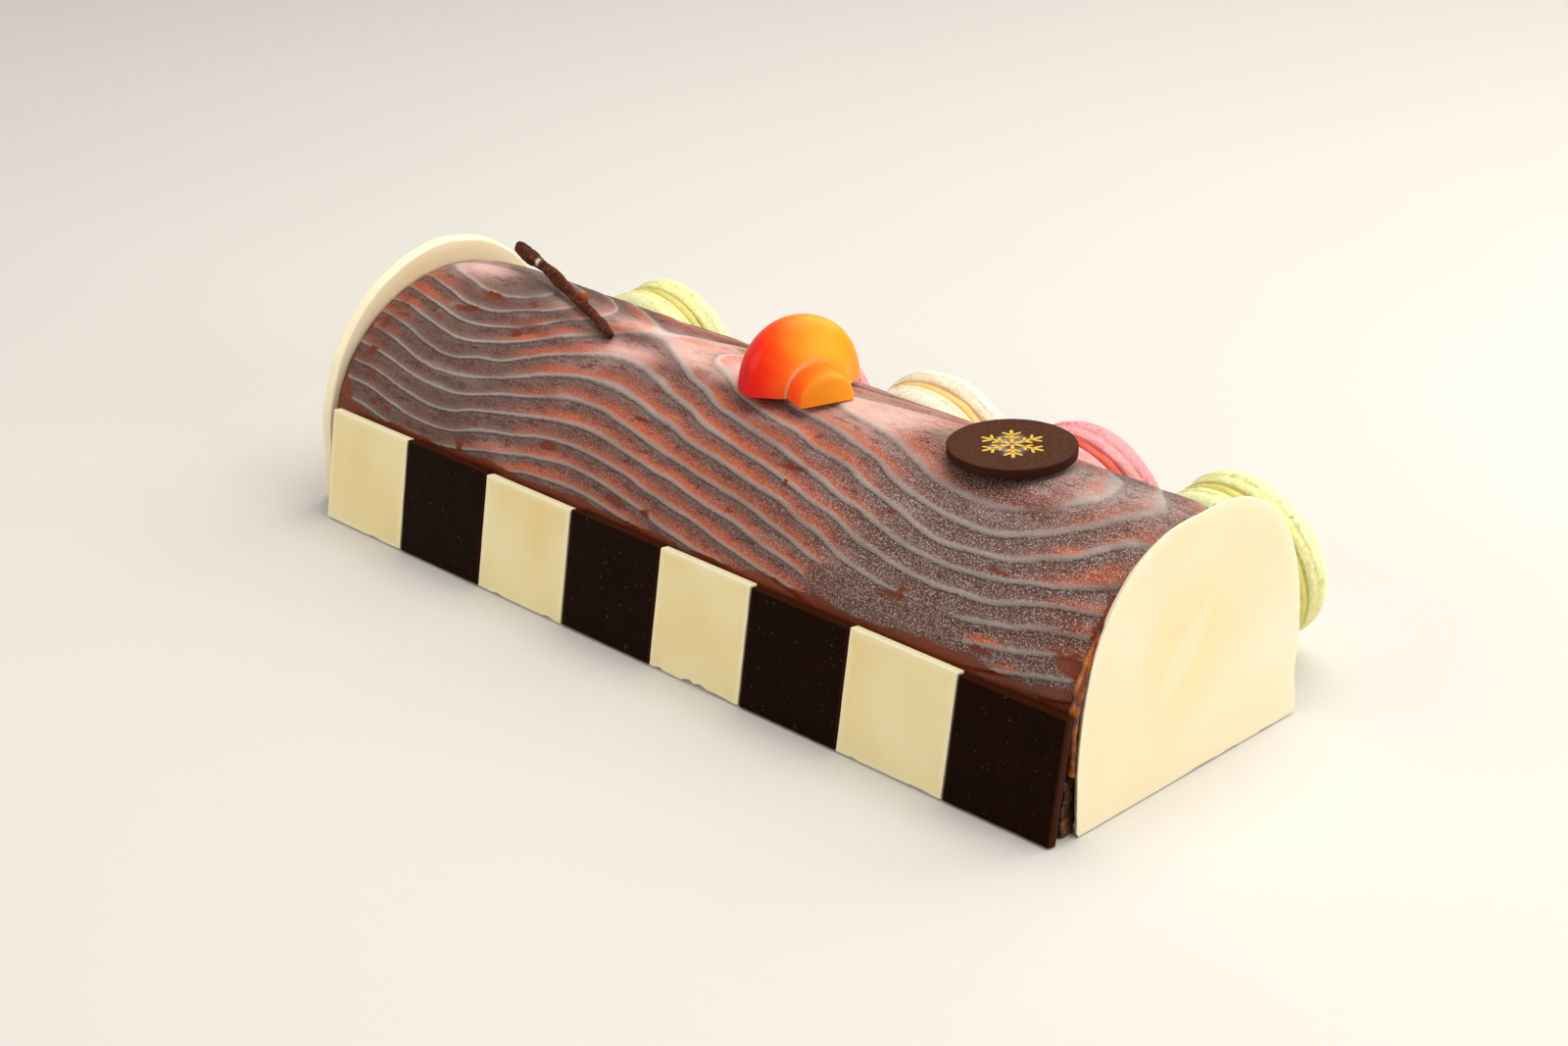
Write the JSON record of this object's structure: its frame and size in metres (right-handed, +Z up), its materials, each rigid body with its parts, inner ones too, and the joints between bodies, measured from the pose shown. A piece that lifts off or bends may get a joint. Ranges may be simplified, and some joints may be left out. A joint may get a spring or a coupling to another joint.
{
  "type": "yule log cake",
  "caption": "Log-shaped cake with moulded wood grain, chocolate end plates and side squares, macarons behind, and a mushroom, disc and twig on top.",
  "frame": {"origin": "centre of the cake's foot, on the surface it stands on", "axes": "+X along the log towards its right end plate, -Y its front with the leaning squares, +Z up"},
  "size_m": [0.2918, 0.1312, 0.0874],
  "materials": {
    "glaze": "frosted velvet over dark glaze",
    "biscuit": "crumbly",
    "white_chocolate": "satin",
    "dark_chocolate": "satin",
    "green_shell": "matt",
    "cream_shell": "matt",
    "pink_shell": "matt",
    "green_filling": "smooth",
    "cream_filling": "smooth",
    "pink_filling": "smooth",
    "orange_chocolate": "glossy",
    "twig_chocolate": "rough",
    "disc_chocolate": "satin"
  },
  "bodies": {
    "root": {"log": "glaze", "biscuit_base": "biscuit", "end_plate_left": "white_chocolate", "end_plate_right": "white_chocolate", "square_1": "white_chocolate", "square_2": "dark_chocolate", "square_3": "white_chocolate", "square_4": "dark_chocolate", "square_5": "white_chocolate", "square_6": "dark_chocolate", "square_7": "white_chocolate", "square_8": "dark_chocolate", "macaron_1_inner": "green_shell", "macaron_1_filling": "green_filling", "macaron_1_outer": "green_shell", "macaron_2_inner": "pink_shell", "macaron_2_filling": "pink_filling", "macaron_2_outer": "pink_shell", "macaron_3_inner": "cream_shell", "macaron_3_filling": "cream_filling", "macaron_3_outer": "cream_shell", "macaron_4_inner": "pink_shell", "macaron_4_filling": "pink_filling", "macaron_4_outer": "pink_shell", "macaron_5_inner": "green_shell", "macaron_5_filling": "green_filling", "macaron_5_outer": "green_shell", "twig": "twig_chocolate", "mushroom_cap": "orange_chocolate", "mushroom_stem": "orange_chocolate", "medallion": "disc_chocolate"}
  },
  "joints": []
}
